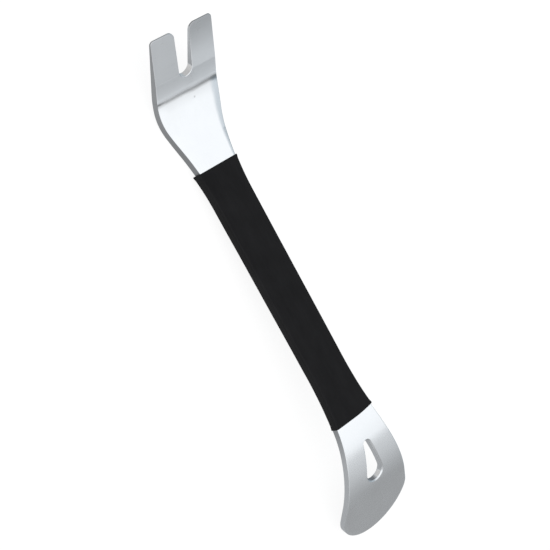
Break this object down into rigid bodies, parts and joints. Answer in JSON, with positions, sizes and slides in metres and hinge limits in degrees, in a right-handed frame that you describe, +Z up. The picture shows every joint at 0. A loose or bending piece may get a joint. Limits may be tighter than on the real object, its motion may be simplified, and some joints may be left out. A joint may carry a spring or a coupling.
{
  "type": "pry bar",
  "caption": "Short flat pry bar with a slotted nail-pulling claw at one end, a round-edged blade with a nail hole at the other, and a thin grip sleeve between them.",
  "frame": {"origin": "middle of the bottom of the bounding box, on the bench that the bar rests on", "axes": "+X along the bar towards the claw, +Y across its width, +Z up from the bench"},
  "size_m": [0.254, 0.0414, 0.0261],
  "materials": {
    "chromed_steel": "ground and polished steel with bright chrome plating",
    "black_grip": "matte black shrunk-on sleeve"
  },
  "bodies": {
    "root": {"steel_bar": "chromed_steel", "grip_sleeve": "black_grip"}
  },
  "joints": []
}
